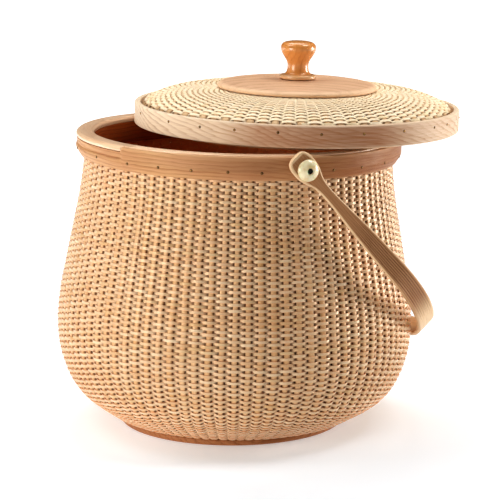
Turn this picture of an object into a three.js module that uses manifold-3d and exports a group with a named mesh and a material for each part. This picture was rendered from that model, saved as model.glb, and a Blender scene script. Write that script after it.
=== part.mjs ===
// Lidded bulbous basket: cane woven on a turned wooden base, bentwood rim, swing
// handle on bone buttons, and a loose woven lid with a wooden disc and turned knob.
// Millimetres, +Z up. The base stands level on z = 0 with its centre at the origin.
// Front of the basket is -Y. The woven wall, rim, handle and lid lean a little to +X,
// as the hand-made original does. The lid lies ajar on the rim, shifted to the right.
import * as THREE from "three";
import { mergeVertices } from "three/addons/utils/BufferGeometryUtils.js";
import Module from "manifold-3d";

const wasm = await Module();
wasm.setup();

// ---------------------------------------------------------------- driving dimensions
const DEG = Math.PI / 180;
const GAP = 0.35; // clearance between pieces that touch

const LEAN = 1.39 * DEG; // the rim's tilt against the base, top towards +X
const LEAN_FROM = 6; // the wall starts to lean at this height
const LEAN_FULL = 50; // and leans fully from here up

const BASE_R = 98.8; // turned base disc
const BASE_EDGE_H = 6.2; // height of its visible edge
const BASE_GROOVE_R = 88; // root of the stave groove
const BASE_GROOVE_TOP = 9.9;
const BASE_TOP_R = 95;
const BASE_TOP = 13;

const WALL_T = 4.4; // woven wall
// the wall is built as five bands of rows, each up to one of these points of WALL
const BANDS = [
  ["body_weave_foot", 0, 4],
  ["body_weave_lower_belly", 4, 7],
  ["body_weave_belly", 7, 9],
  ["body_weave_shoulder", 9, 12],
  ["body_weave_neck", 12, 15],
];
// outer profile of the woven wall: [radius, height]
const WALL = [
  [100.6, 6.7],
  [107.5, 8.9],
  [113.5, 12.2],
  [124, 18.5],
  [134.3, 26.5],
  [142, 36.5],
  [147.5, 48],
  [152, 62],
  [154.3, 78],
  [154.5, 94],
  [152.4, 116],
  [147.9, 140],
  [143.2, 165],
  [138.4, 190],
  [134.9, 212],
  [133.1, 231],
];
const WALL_TOP = 247.6; // the wall runs up between the rim hoops

const RIM_R = 140; // outer hoop
const RIM_IN = 124.5; // mouth
const RIM_BOTTOM = 232;
const RIM_SEAM = 248; // joint between the hoops and the cap ring
const RIM_TOP = 253;
const HOOP_IN_R = 129.7; // outer face of the inner hoop
const HOOP_OUT_R = 133.6; // inner face of the outer hoop
const HOOP_IN_BOTTOM = 229.5;

const PIVOT_Z = 242.5; // handle axis, through the middle of the rim
const PIVOT_AZ = 21.67 * DEG; // front pivot, measured from -Y towards +X
const PIN_R = 2.2;
const PIN_HOLE_R = 2.7;
const SPACER_R = 6.5;
const BUTTON_R = 9.1;
const BUTTON_H = 6.2;

const HANDLE_U = 146; // half the span between the legs' mid lines
const HANDLE_T = 4.6; // thickness of the bent strip
const HANDLE_LEG = 122; // straight part of each leg
const HANDLE_REACH = 233.4; // axis to the mid line of the arch
const HANDLE_POWER = 1.76; // the arch is a superellipse of this power
const HANDLE_REST = 46.1 * DEG; // how far it hangs below the horizontal
const EAR_END = 15; // how far each ear goes past the axis
// half width along the strip, from the ear's end: [distance from the axis, half width]
const HANDLE_HALF = [
  [-EAR_END, 5.6],
  [-14.6, 7.4],
  [-13.4, 8.9],
  [-11, 9.8],
  [-7, 10.3],
  [0, 10.4],
  [7, 9],
  [13, 6.4],
  [20, 4.9],
  [30, 4.6],
  [45, 5.2],
  [65, 6.5],
  [88, 7.85],
  [110, 8.45],
  [150, 8.6],
  [200, 9],
];
// places along a leg where the strip is cut across
const LEG_STEPS = [
  -EAR_END, -14.6, -13.4, -11, -7, 0, 7, 13, 20, 30, 45, 65, 88, 105, HANDLE_LEG,
];

const LID_X = 49.6; // lid's axis against the basket's, ajar
const LID_Y = 19.1;
const LID_R = 140.5;
const LID_T = 4.8;
const LID_BOTTOM = 257.45;
const LID_TOP = 276;
const LID_RING_OUT = 121.5; // ring under the lid that drops into the mouth
const LID_RING_IN = 117;
const LID_WEAVE_R = 135.2;
const LID_WEAVE_Z = 275;
const LID_RISE = 14;
const LID_POWER = 3.5;
const LID_WEAVE_T = 2.8;
const DISC_R = 69;
const DISC_GROOVE_R = 58;
const DISC_EDGE_Z = 289.9;
const DISC_TOP = 297.2;
const KNOB = [
  [14.9, 297.65],
  [15.5, 298.2],
  [15.6, 299.4],
  [15.2, 300.4],
  [12.6, 301.4],
  [11.2, 302.5],
  [9.7, 303.8],
  [9, 305.6],
  [8.8, 308],
  [9, 310.6],
  [9.9, 313],
  [11.8, 315.9],
  [13.8, 319],
  [15.1, 322.2],
  [15.3, 324.4],
  [14.7, 326.6],
  [12.9, 328.5],
  [8, 329.9],
];
const KNOB_TOP = 330.2;
const SCREW_R = 2;

const NAIL_HEAD_R = 1.25;
const NAIL_SHANK_R = 0.6;
const RIM_NAIL_Z = 239.6;
const LID_NAIL_Z = 269.6;
// azimuths from -Y towards +X. Those that face the front are where the original has them.
const RIM_NAIL_AZ = [
  -40.7, -27.9, -16, -3.7, 7.5, 33.3, 46, 60.2, 76.5, 98.4, 120.3, 142.2, 164.1, 186, 218.5,
  239.5, 260.5, 281.5, 302.5,
];
const LID_NAIL_AZ = [
  -50.7, -35.9, -22.7, -7.8, 6.6, 21.3, 37.2, 53, 62.4, 83, 105.8, 128.6, 151.3,
  174.1, 196.9, 219.7, 242.4, 265.2, 288,
];

const ROUND = 40; // sides of the large rings

// ---------------------------------------------------------------- materials
const mat = (color, roughness, metalness = 0) =>
  new THREE.MeshStandardMaterial({ color, roughness, metalness });
const CANE = mat(0xd9b98a, 0.6);
const RIM_WOOD = mat(0xb98253, 0.42);
const HOOP_WOOD = mat(0xc49a6c, 0.5);
const BASE_WOOD = mat(0x9a5a30, 0.5);
const DISC_WOOD = mat(0xcfa27a, 0.45);
const KNOB_WOOD = mat(0xc9803c, 0.15);
const HANDLE_WOOD = mat(0x9a7355, 0.5);
const BONE = mat(0xeee3c4, 0.35);
const DARK_PIN = mat(0x1d1712, 0.5, 0.3);
const BRASS = mat(0xb08a4a, 0.35, 0.9);
const STEEL = mat(0x9a9a98, 0.35, 1);

// ---------------------------------------------------------------- helpers
const v2 = (p) => new THREE.Vector2(p[0], p[1]);

// closed ring or solid of revolution about +Z from an [r, z] outline that runs
// anticlockwise (up the outside, down the inside)
function turned(outline, segments) {
  const pts = outline.map(v2);
  if (outline[0][0] > 0) pts.push(v2(outline[0]));
  const g = new THREE.LatheGeometry(pts, segments);
  g.rotateX(Math.PI / 2); // lathe turns about +Y
  return g;
}

// a cylinder along +X from x0 to x1
function barX(r, x0, x1, sides) {
  const g = new THREE.CylinderGeometry(r, r, x1 - x0, sides);
  g.rotateZ(-Math.PI / 2);
  g.translate((x0 + x1) / 2, 0, 0);
  return g;
}

function toSolid(geometry) {
  const g = geometry.clone();
  for (const name of Object.keys(g.attributes))
    if (name !== "position") g.deleteAttribute(name);
  const m = mergeVertices(g, 1e-4);
  return new wasm.Manifold(
    new wasm.Mesh({
      numProp: 3,
      vertProperties: new Float32Array(m.attributes.position.array),
      triVerts: new Uint32Array(m.index.array),
    }),
  );
}

function toGeometry(solid) {
  const m = solid.getMesh();
  const g = new THREE.BufferGeometry();
  const v = new Float32Array(m.numVert * 3);
  for (let i = 0; i < m.numVert; i++)
    v.set(m.vertProperties.subarray(i * m.numProp, i * m.numProp + 3), i * 3);
  g.setAttribute("position", new THREE.BufferAttribute(v, 3));
  g.setIndex(new THREE.BufferAttribute(new Uint32Array(m.triVerts), 1));
  g.computeVertexNormals();
  return g;
}

const cut = (geometry, tools) =>
  toGeometry(tools.reduce((s, t) => s.subtract(toSolid(t)), toSolid(geometry)));

// skin over a row of cross-sections with the same number of points, closed at both ends
function loft(sections) {
  const n = sections[0].length;
  const pos = sections.flat().flatMap((p) => [p.x, p.y, p.z]);
  const idx = [];
  for (let i = 0; i + 1 < sections.length; i++)
    for (let j = 0; j < n; j++) {
      const a = i * n + j,
        b = i * n + ((j + 1) % n),
        c = a + n,
        d = b + n;
      idx.push(a, b, d, a, d, c);
    }
  for (let j = 1; j + 1 < n; j++) {
    idx.push(0, j + 1, j);
    const e = (sections.length - 1) * n;
    idx.push(e, e + j, e + j + 1);
  }
  const g = new THREE.BufferGeometry();
  g.setAttribute("position", new THREE.Float32BufferAttribute(pos, 3));
  g.setIndex(idx);
  g.computeVertexNormals();
  return g;
}

const lerpTable = (table, x) => {
  if (x <= table[0][0]) return table[0][1];
  for (let i = 1; i < table.length; i++)
    if (x <= table[i][0]) {
      const [x0, y0] = table[i - 1],
        [x1, y1] = table[i];
      return y0 + ((y1 - y0) * (x - x0)) / (x1 - x0);
    }
  return table[table.length - 1][1];
};

// places a mesh that was built along +X so that +X points out at an azimuth from -Y
const outward = (az) => az - Math.PI / 2;

function add(parent, name, geometry, material) {
  const mesh = new THREE.Mesh(geometry, material);
  mesh.name = name;
  parent.add(mesh);
  return mesh;
}

// ---------------------------------------------------------------- groups
const basket = new THREE.Group(); // base frame, level
const leaning = new THREE.Group(); // rim frame, leaning to +X
leaning.rotation.y = LEAN;
basket.add(leaning);
const pivotFrame = new THREE.Group(); // +X along the handle axis, out of the front pivot
pivotFrame.position.z = PIVOT_Z;
pivotFrame.rotation.z = outward(PIVOT_AZ);
leaning.add(pivotFrame);
const handleFrame = new THREE.Group(); // +Y along the legs as the handle hangs
handleFrame.rotation.x = -HANDLE_REST;
pivotFrame.add(handleFrame);
const lid = new THREE.Group();
lid.position.set(LID_X, LID_Y, 0);
leaning.add(lid);

// ---------------------------------------------------------------- base
add(
  basket,
  "base_plate",
  turned(
    [
      [0, 0],
      [95.5, 0],
      [98, 1.2],
      [BASE_R, 3.2],
      [98.2, 5.4],
      [96.5, BASE_EDGE_H],
      [BASE_GROOVE_R, BASE_EDGE_H],
      [BASE_GROOVE_R, BASE_GROOVE_TOP],
      [BASE_TOP_R - 2, BASE_GROOVE_TOP],
      [BASE_TOP_R, BASE_GROOVE_TOP + 1],
      [BASE_TOP_R, BASE_TOP - 1],
      [BASE_TOP_R - 1.5, BASE_TOP],
      [0, BASE_TOP],
    ],
    ROUND,
  ),
  BASE_WOOD,
);

// ---------------------------------------------------------------- woven wall
// A shell in five bands that stand on each other: a flange in the base's groove, the
// bulbous wall, and a straight collar between the two rim hoops.
const wallSide = WALL.map((_, i) => {
  const [r0, z0] = WALL[Math.max(0, i - 1)],
    [r1, z1] = WALL[Math.min(WALL.length - 1, i + 1)];
  const l = Math.hypot(r1 - r0, z1 - z0);
  return [(r1 - r0) / l, (z1 - z0) / l]; // up along the wall
});
// a point of the wall, a little way along it and some way in from its outside
const wallPoint = (i, up, inward) => [
  WALL[i][0] + wallSide[i][0] * up - wallSide[i][1] * inward,
  WALL[i][1] + wallSide[i][1] * up + wallSide[i][0] * inward,
];
const pinBore = (side) => {
  const g = barX(PIN_HOLE_R, RIM_IN - 8, RIM_R + 8, 16);
  g.rotateZ(outward(PIVOT_AZ + side * Math.PI));
  g.translate(0, 0, PIVOT_Z);
  return g;
};
const pinBoreWorld = (side) => pinBore(side).rotateY(LEAN);
for (const [name, first, last] of BANDS) {
  const outside = [],
    inside = [];
  for (let i = first; i <= last; i++) {
    const up = i === first && first > 0 ? GAP / 2 : i === last && last < WALL.length - 1 ? -GAP / 2 : 0;
    outside.push(wallPoint(i, up, 0));
    inside.unshift(wallPoint(i, up, WALL_T));
  }
  if (first === 0) {
    inside[inside.length - 1] = [98.2, BASE_GROOVE_TOP - GAP];
    inside.push([BASE_GROOVE_R + GAP, BASE_GROOVE_TOP - GAP]);
    outside.unshift([BASE_GROOVE_R + GAP, BASE_EDGE_H + GAP]);
  }
  if (last === WALL.length - 1) {
    outside.push([HOOP_OUT_R - GAP - 0.15, WALL_TOP], [HOOP_IN_R + GAP + 0.15, WALL_TOP]);
    inside[0] = [HOOP_IN_R + GAP + 0.15, HOOP_IN_BOTTOM - GAP - 0.6];
    inside.splice(1, 0, [wallPoint(last, 0, WALL_T)[0], HOOP_IN_BOTTOM - GAP - 2.2]);
  }
  const band = turned([...outside, ...inside], ROUND);
  const p = band.attributes.position,
    v = new THREE.Vector3();
  for (let i = 0; i < p.count; i++) {
    v.fromBufferAttribute(p, i);
    const k = THREE.MathUtils.smoothstep(v.z, LEAN_FROM, LEAN_FULL);
    v.applyAxisAngle(new THREE.Vector3(0, 1, 0), LEAN * k);
    p.setXYZ(i, v.x, v.y, v.z);
  }
  const bores = last === WALL.length - 1 ? [pinBoreWorld(0), pinBoreWorld(1)] : [];
  add(basket, name, cut(band, bores), CANE);
}

// ---------------------------------------------------------------- rim
const nailBore = (az, r, z) => {
  const g = barX(NAIL_SHANK_R + 0.3, r - 3.6, r + 3, 6);
  g.rotateZ(outward(az * DEG));
  g.translate(0, 0, z);
  return g;
};
add(
  leaning,
  "rim_outer_hoop",
  cut(
    turned(
      [
        [HOOP_OUT_R, RIM_BOTTOM],
        [135, RIM_BOTTOM],
        [137.4, RIM_BOTTOM + 1.6],
        [139.2, RIM_BOTTOM + 4.4],
        [RIM_R, RIM_BOTTOM + 8],
        [RIM_R, RIM_SEAM - 0.9],
        [RIM_R - 0.9, RIM_SEAM],
        [HOOP_OUT_R, RIM_SEAM],
      ],
      ROUND,
    ),
    [
      pinBore(0),
      pinBore(1),
      ...RIM_NAIL_AZ.map((a) => nailBore(a, RIM_R, RIM_NAIL_Z)),
    ],
  ),
  RIM_WOOD,
);
add(
  leaning,
  "rim_inner_hoop",
  cut(
    turned(
      [
        [RIM_IN, HOOP_IN_BOTTOM + 1.2],
        [RIM_IN + 1.2, HOOP_IN_BOTTOM],
        [HOOP_IN_R, HOOP_IN_BOTTOM],
        [HOOP_IN_R, RIM_SEAM],
        [RIM_IN, RIM_SEAM],
      ],
      ROUND,
    ),
    [pinBore(0), pinBore(1)],
  ),
  RIM_WOOD,
);
add(
  leaning,
  "rim_cap",
  turned(
    [
      [RIM_IN, RIM_SEAM + GAP],
      [RIM_R - 0.9, RIM_SEAM + GAP],
      [RIM_R, RIM_SEAM + GAP + 0.9],
      [RIM_R - 0.5, RIM_TOP - 1.6],
      [RIM_R - 2, RIM_TOP - 0.4],
      [RIM_R - 4, RIM_TOP],
      [RIM_IN + 2, RIM_TOP],
      [RIM_IN + 0.5, RIM_TOP - 0.6],
      [RIM_IN, RIM_TOP - 2],
    ],
    ROUND,
  ),
  RIM_WOOD,
);

// ---------------------------------------------------------------- pins that nail hoops
function nail(parent, name, az, r, z) {
  // a round-headed pin along +X with its head's seat at x = 0
  const g = turned(
    [
      [0, -3.2],
      [NAIL_SHANK_R, -3.2],
      [NAIL_SHANK_R, 0],
      [NAIL_HEAD_R, 0],
      [0, 0.85],
    ],
    6,
  );
  g.rotateY(Math.PI / 2);
  const mesh = add(parent, name, g, BRASS);
  const a = az * DEG;
  mesh.position.set((r + 0.2) * Math.sin(a), -(r + 0.2) * Math.cos(a), z);
  mesh.rotation.z = outward(a);
}
RIM_NAIL_AZ.forEach((az, i) =>
  nail(leaning, "rim_nail_" + (i + 1), az, RIM_R, RIM_NAIL_Z),
);

// ---------------------------------------------------------------- handle and pivots
// the bent strip's mid line in its own plane: x along the axis, y along the legs
const midLine = [];
for (const y of LEG_STEPS) midLine.push([HANDLE_U, y]);
const ARCH = 30;
for (let i = 1; i < ARCH; i++) {
  const t = (Math.PI * i) / ARCH,
    c = Math.cos(t),
    s = Math.sin(t);
  midLine.push([
    HANDLE_U * Math.sign(c) * Math.abs(c) ** (2 / HANDLE_POWER),
    HANDLE_LEG + (HANDLE_REACH - HANDLE_LEG) * s ** (2 / HANDLE_POWER),
  ]);
}
for (const y of [...LEG_STEPS].reverse()) midLine.push([-HANDLE_U, y]);
const along = [0];
for (let i = 1; i < midLine.length; i++)
  along.push(
    along[i - 1] +
      Math.hypot(
        midLine[i][0] - midLine[i - 1][0],
        midLine[i][1] - midLine[i - 1][1],
      ),
  );
const stripLength = along[along.length - 1];
const stripSections = midLine.map(([x, y], i) => {
  const a = midLine[Math.max(0, i - 1)],
    b = midLine[Math.min(midLine.length - 1, i + 1)];
  const t = new THREE.Vector2(b[0] - a[0], b[1] - a[1]).normalize();
  const s = Math.min(along[i], stripLength - along[i]) - EAR_END;
  const h = lerpTable(HANDLE_HALF, s),
    e = Math.min(1.1, h * 0.25),
    k = HANDLE_T / 2;
  // rounded rectangle across the strip: [in-plane offset, offset along the pivot plane's normal]
  return [
    [-k + e, h],
    [k - e, h],
    [k, h - e],
    [k, -h + e],
    [k - e, -h],
    [-k + e, -h],
    [-k, -h + e],
    [-k, h - e],
  ].map(([q, z]) => new THREE.Vector3(x + t.y * q, y - t.x * q, z));
});
const strip = loft(stripSections);
const earBore = (side) =>
  barX(PIN_HOLE_R, HANDLE_U - 8, HANDLE_U + 8, 16).rotateZ(side * Math.PI);
add(handleFrame, "handle", cut(strip, [earBore(0), earBore(1)]), HANDLE_WOOD);

for (const [side, word] of [
  [0, "front"],
  [1, "back"],
]) {
  const end = new THREE.Group(); // +X points out of the basket along the axis
  end.rotation.z = side * Math.PI;
  pivotFrame.add(end);
  const EAR_IN = HANDLE_U - HANDLE_T / 2,
    EAR_OUT = HANDLE_U + HANDLE_T / 2;
  // headed pin from inside the mouth to the button's hole
  add(
    end,
    "pivot_pin_" + word,
    turned(
      [
        [0, RIM_IN - 2.4],
        [4, RIM_IN - 2.4],
        [5, RIM_IN - 1.6],
        [5, RIM_IN - GAP - 0.1],
        [PIN_R, RIM_IN - GAP - 0.1],
        [PIN_R, EAR_OUT + GAP + BUTTON_H - 1.4],
        [0, EAR_OUT + GAP + BUTTON_H - 1.4],
      ],
      12,
    ).rotateY(Math.PI / 2),
    DARK_PIN,
  );
  // washer that keeps the ear off the rim
  add(
    end,
    "pivot_spacer_" + word,
    turned(
      [
        [PIN_HOLE_R, RIM_R + GAP],
        [SPACER_R, RIM_R + GAP],
        [SPACER_R, EAR_IN - GAP],
        [PIN_HOLE_R, EAR_IN - GAP],
      ],
      14,
    ).rotateY(Math.PI / 2),
    BONE,
  );
  // domed button on the outside of the ear
  const B0 = EAR_OUT + GAP;
  add(
    end,
    "pivot_button_" + word,
    turned(
      [
        [PIN_HOLE_R, B0],
        [BUTTON_R - 0.4, B0],
        [BUTTON_R, B0 + 0.6],
        [BUTTON_R - 0.3, B0 + 1.8],
        [BUTTON_R - 1.6, B0 + 3.4],
        [BUTTON_R - 3.6, B0 + 4.9],
        [BUTTON_R - 5.4, B0 + BUTTON_H - 0.2],
        [PIN_HOLE_R, B0 + BUTTON_H],
      ],
      16,
    ).rotateY(Math.PI / 2),
    BONE,
  );
}

// ---------------------------------------------------------------- lid
const domeZ = (r) =>
  LID_WEAVE_Z +
  LID_RISE *
    (1 -
      Math.max(0, (r - DISC_R + 3) / (LID_WEAVE_R - DISC_R + 3)) ** LID_POWER);
add(
  lid,
  "lid_hoop",
  cut(
    turned(
      [
        [LID_R - LID_T, LID_BOTTOM + 1],
        [LID_R - LID_T + 1, LID_BOTTOM],
        [LID_R - 1.2, LID_BOTTOM],
        [LID_R, LID_BOTTOM + 1.2],
        [LID_R, LID_TOP - 1.5],
        [LID_R - 1.5, LID_TOP],
        [LID_R - LID_T + 0.8, LID_TOP],
        [LID_R - LID_T, LID_TOP - 0.8],
      ],
      ROUND,
    ),
    LID_NAIL_AZ.map((a) => nailBore(a, LID_R, LID_NAIL_Z)),
  ),
  HOOP_WOOD,
);
LID_NAIL_AZ.forEach((az, i) =>
  nail(lid, "lid_nail_" + (i + 1), az, LID_R, LID_NAIL_Z),
);
// domed woven ring from the hoop to the disc's groove
const domeR = [LID_WEAVE_R, 130, 121.5, 110, 94, DISC_R - 3, DISC_GROOVE_R + GAP];
const domeTop = domeR.map((r) => [r, domeZ(r)]);
const domeLow = domeR.map((r) => [r, domeZ(r) - LID_WEAVE_T]);
domeTop.unshift([LID_WEAVE_R, LID_BOTTOM + 8]);
domeLow.unshift([LID_WEAVE_R - LID_WEAVE_T, LID_BOTTOM + 8]);
domeLow[1] = [LID_WEAVE_R - LID_WEAVE_T, domeZ(LID_WEAVE_R) - 1.6];
add(
  lid,
  "lid_weave",
  turned([...domeTop, ...domeLow.reverse()], ROUND),
  CANE,
);
// ring under the woven top that drops into the mouth when the lid is closed
add(
  lid,
  "lid_locating_ring",
  turned(
    [
      [LID_RING_IN, RIM_TOP + GAP + 0.8],
      [LID_RING_IN + 0.8, RIM_TOP + GAP],
      [LID_RING_OUT - 1.2, RIM_TOP + GAP],
      [LID_RING_OUT, RIM_TOP + GAP + 1.2],
      [LID_RING_OUT, domeZ(LID_RING_OUT) - LID_WEAVE_T - 1.1],
      [LID_RING_IN, domeZ(LID_RING_OUT) - LID_WEAVE_T - 1.1],
    ],
    ROUND,
  ),
  HOOP_WOOD,
);
// turned disc with a stave groove in its edge
const grooveTop = domeZ(DISC_R - 3) + GAP,
  grooveLow = domeZ(DISC_R - 3) - LID_WEAVE_T - GAP;
add(
  lid,
  "lid_disc",
  cut(
    turned(
      [
        [0, grooveLow - 3.2],
        [DISC_R - 5, grooveLow - 3.2],
        [DISC_R - 4, grooveLow - 2.2],
        [DISC_R - 4, grooveLow],
        [DISC_GROOVE_R, grooveLow],
        [DISC_GROOVE_R, grooveTop],
        [DISC_R - 1.2, grooveTop],
        [DISC_R, DISC_EDGE_Z + 0.6],
        [DISC_R - 0.6, DISC_EDGE_Z + 2.2],
        [DISC_R - 2.6, DISC_EDGE_Z + 3.6],
        [DISC_R - 7, DISC_EDGE_Z + 4.7],
        [DISC_R - 24, DISC_EDGE_Z + 6.3],
        [16, DISC_TOP - 0.2],
        [0, DISC_TOP - 0.2],
      ],
      ROUND,
    ),
    [
      new THREE.CylinderGeometry(SCREW_R + 0.4, SCREW_R + 0.4, 40, 16)
        .rotateX(Math.PI / 2)
        .translate(0, 0, DISC_EDGE_Z),
    ],
  ),
  DISC_WOOD,
);
const KNOB_FOOT = KNOB[0][1],
  SCREW_END = KNOB_FOOT + 16;
add(
  lid,
  "lid_knob",
  turned(
    [
      [0, SCREW_END + 1],
      [SCREW_R + 0.4, SCREW_END + 1],
      [SCREW_R + 0.4, KNOB_FOOT],
      ...KNOB,
      [0, KNOB_TOP],
    ],
    24,
  ),
  KNOB_WOOD,
);
// screw up through the disc into the knob
add(
  lid,
  "knob_screw",
  turned(
    [
      [0, grooveLow - 5.4],
      [3.2, grooveLow - 5.4],
      [4.4, grooveLow - 4.6],
      [4.4, grooveLow - 3.2 - GAP],
      [SCREW_R, grooveLow - 3.2 - GAP],
      [SCREW_R, SCREW_END],
      [0, SCREW_END],
    ],
    16,
  ),
  STEEL,
);

export default basket;
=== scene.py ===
import math

import bmesh
import bpy
import numpy as np
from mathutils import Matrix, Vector


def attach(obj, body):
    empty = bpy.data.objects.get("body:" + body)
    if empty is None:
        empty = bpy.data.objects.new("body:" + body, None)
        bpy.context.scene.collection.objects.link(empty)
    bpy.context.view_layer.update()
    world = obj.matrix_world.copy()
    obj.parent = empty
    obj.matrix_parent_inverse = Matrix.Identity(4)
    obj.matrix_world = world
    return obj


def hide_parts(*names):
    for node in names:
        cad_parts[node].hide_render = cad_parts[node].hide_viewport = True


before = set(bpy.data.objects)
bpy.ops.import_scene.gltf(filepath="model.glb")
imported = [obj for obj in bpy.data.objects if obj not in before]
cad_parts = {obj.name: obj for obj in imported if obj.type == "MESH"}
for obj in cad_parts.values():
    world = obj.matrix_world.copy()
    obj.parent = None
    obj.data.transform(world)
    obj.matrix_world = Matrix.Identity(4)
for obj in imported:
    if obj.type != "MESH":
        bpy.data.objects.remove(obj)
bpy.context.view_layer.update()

DEG = math.pi / 180

# ------------------------------------------------------------------ dimensions, in mm
LEAN = 1.39 * DEG
LEAN_FROM, LEAN_FULL = -20.0, 40.0

WALL = np.array([
    (100.4, 5.5), (107.4, 7.9), (113.5, 11.6), (124, 18.3), (134.3, 26.5), (142, 36.5),
    (147.5, 48), (152, 62), (154.3, 78), (154.5, 94), (152.4, 116), (147.9, 140),
    (143.2, 165), (138.4, 190), (134.9, 212), (133.1, 231), (132.8, 236.5),
])
STAVES = 89  # odd, so that one spiral goes over and under in turn
ROW = 2.5
CANE_T = 0.62
CANE_A = 1.55  # how far a strand swings out and in where the wall is 150 wide

RIM_R, RIM_IN = 140.0, 124.5
RIM_BOTTOM, RIM_SEAM, RIM_TOP = 232.0, 248.0, 253.0
HOOP_IN_R, HOOP_OUT_R, HOOP_IN_BOTTOM = 129.7, 133.6, 229.5
LAP_AZ = -43.5 * DEG  # end of the rim's outer strip

PIVOT_Z, PIVOT_AZ = 242.5, 21.67 * DEG
HANDLE_U, HANDLE_T, HANDLE_LEG, HANDLE_REACH = 146.0, 4.6, 122.0, 233.4
HANDLE_POWER, HANDLE_REST, EAR_END = 1.76, 46.1 * DEG, 15.0
HANDLE_HALF = np.array([
    (-15, 4.0), (-14.6, 6.0), (-13.4, 7.9), (-11.4, 9.3), (-8, 10.2), (0, 10.4), (7, 9), (13, 6.4), (20, 4.9),
    (30, 4.6), (45, 5.2), (65, 6.5), (88, 7.85), (110, 8.5), (150, 9.1), (200, 9.3), (400, 9.3),
])

LID_X, LID_Y = 49.6, 19.1
LID_R, LID_T, LID_BOTTOM, LID_TOP = 140.5, 4.8, 257.45, 276.0
LID_WEAVE_R, LID_WEAVE_Z, LID_RISE, LID_POWER = 135.2, 275.0, 14.0, 3.5
LID_STAVES = 77
DISC_R, DISC_EDGE_Z, DISC_TOP = 69.0, 289.9, 297.2

RIM_NAIL_Z, LID_NAIL_Z = 239.6, 269.6
RIM_NAIL_AZ = [
    -40.7, -27.9, -16, -3.7, 7.5, 33.3, 46, 60.2, 76.5, 98.4, 120.3, 142.2, 164.1, 186, 218.5,
    239.5, 260.5, 281.5, 302.5,
]
LID_NAIL_AZ = [
    -50.7, -35.9, -22.7, -7.8, 6.6, 21.3, 37.2, 53, 62.4, 83, 105.8, 128.6, 151.3, 174.1,
    196.9, 219.7, 242.4, 265.2, 288,
]
KNOB = [
    (14.7, 297.65), (15.4, 298.0), (15.6, 298.8), (15.5, 300.3), (14.9, 301.0), (13.2, 301.35), (11.6, 301.8), (10.5, 302.6),
    (9.8, 303.8), (9.4, 305.6), (9.2, 308), (9.3, 310.4), (9.9, 312.8), (11.6, 315.7), (13.7, 319), (15.1, 322.2),
    (15.3, 324.4), (14.7, 326.6), (12.9, 328.5), (9, 329.7), (4, 330.15), (0, 330.2),
]


# ------------------------------------------------------------------ frames
def smooth(x, a, b):
    t = np.clip((np.asarray(x, float) - a) / (b - a), 0, 1)
    return t * t * (3 - 2 * t)


def lean(P, amount=1.0):
    """The rim's frame, or part of the way to it, in the base's frame."""
    P = np.asarray(P, float)
    a = LEAN * np.asarray(amount, float)
    c, s = np.cos(a), np.sin(a)
    return np.stack([P[..., 0] * c + P[..., 2] * s, P[..., 1], -P[..., 0] * s + P[..., 2] * c], -1)


def wall_lean(P):
    return lean(P, smooth(P[..., 2], LEAN_FROM, LEAN_FULL))


def level(P):
    return P


def lid_frame(P):
    return lean(np.asarray(P, float) + np.array([LID_X, LID_Y, 0.0]))


def pivot_frame(P):
    """x along the handle's axis out of the front pivot, y level, z up."""
    P = np.asarray(P, float)
    c, s = math.sin(PIVOT_AZ), -math.cos(PIVOT_AZ)
    q = np.stack([P[..., 0] * c - P[..., 1] * s, P[..., 0] * s + P[..., 1] * c, P[..., 2] + PIVOT_Z], -1)
    return lean(q)


def handle_frame(P):
    P = np.asarray(P, float)
    c, s = math.cos(-HANDLE_REST), math.sin(-HANDLE_REST)
    return pivot_frame(np.stack([P[..., 0], P[..., 1] * c - P[..., 2] * s, P[..., 1] * s + P[..., 2] * c], -1))


def polar(r, az, z):
    """az from -Y towards +X."""
    r, az, z = np.broadcast_arrays(r, az, z)
    return np.stack([r * np.sin(az), -r * np.cos(az), z], -1)


# ------------------------------------------------------------------ meshes
def make(name, V, quads, tris=None, mats=(), corner=None, point=None, uv=None, slots=None, flat=False, sharp=None):
    """A mesh object from points in mm. corner and point hold attributes by name."""
    V = np.asarray(V, float).reshape(-1, 3) * 0.001
    quads = np.asarray(quads, np.int32).reshape(-1, 4)
    tris = np.zeros((0, 3), np.int32) if tris is None else np.asarray(tris, np.int32).reshape(-1, 3)
    loops = np.concatenate([quads.ravel(), tris.ravel()])
    starts = np.concatenate([np.arange(len(quads)) * 4, len(quads) * 4 + np.arange(len(tris)) * 3])
    me = bpy.data.meshes.new(name)
    me.vertices.add(len(V))
    me.vertices.foreach_set("co", V.ravel().astype(np.float32))
    me.loops.add(len(loops))
    me.loops.foreach_set("vertex_index", loops.astype(np.int32))
    me.polygons.add(len(starts))
    me.polygons.foreach_set("loop_start", starts.astype(np.int32))
    if slots is not None:
        me.polygons.foreach_set("material_index", np.asarray(slots, np.int32))
    me.polygons.foreach_set("use_smooth", np.full(len(starts), not flat))
    me.update(calc_edges=True)
    for domain, items in (("POINT", point or {}), ("CORNER", corner or {})):
        for key, value in items.items():
            value = np.asarray(value, np.float32)
            if value.ndim > 1 and value.shape[-1] == 3:
                me.attributes.new(key, "FLOAT_VECTOR", domain).data.foreach_set("vector", value.ravel())
            else:
                me.attributes.new(key, "FLOAT", domain).data.foreach_set("value", value.ravel())
    if uv is not None:
        me.uv_layers.new(name="OFBake").data.foreach_set("uv", np.asarray(uv, np.float32).ravel())
    bm = bmesh.new()
    bm.from_mesh(me)
    bmesh.ops.recalc_face_normals(bm, faces=bm.faces[:])
    bm.to_mesh(me)
    bm.free()
    if sharp is not None:
        me.set_sharp_from_angle(angle=sharp * DEG)
    for m in mats:
        me.materials.append(m)
    ob = bpy.data.objects.new(name, me)
    bpy.context.scene.collection.objects.link(ob)
    return ob


def settle(ob, body, slot, *nodes):
    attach(ob, body)
    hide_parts(*nodes)
    return ob


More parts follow.
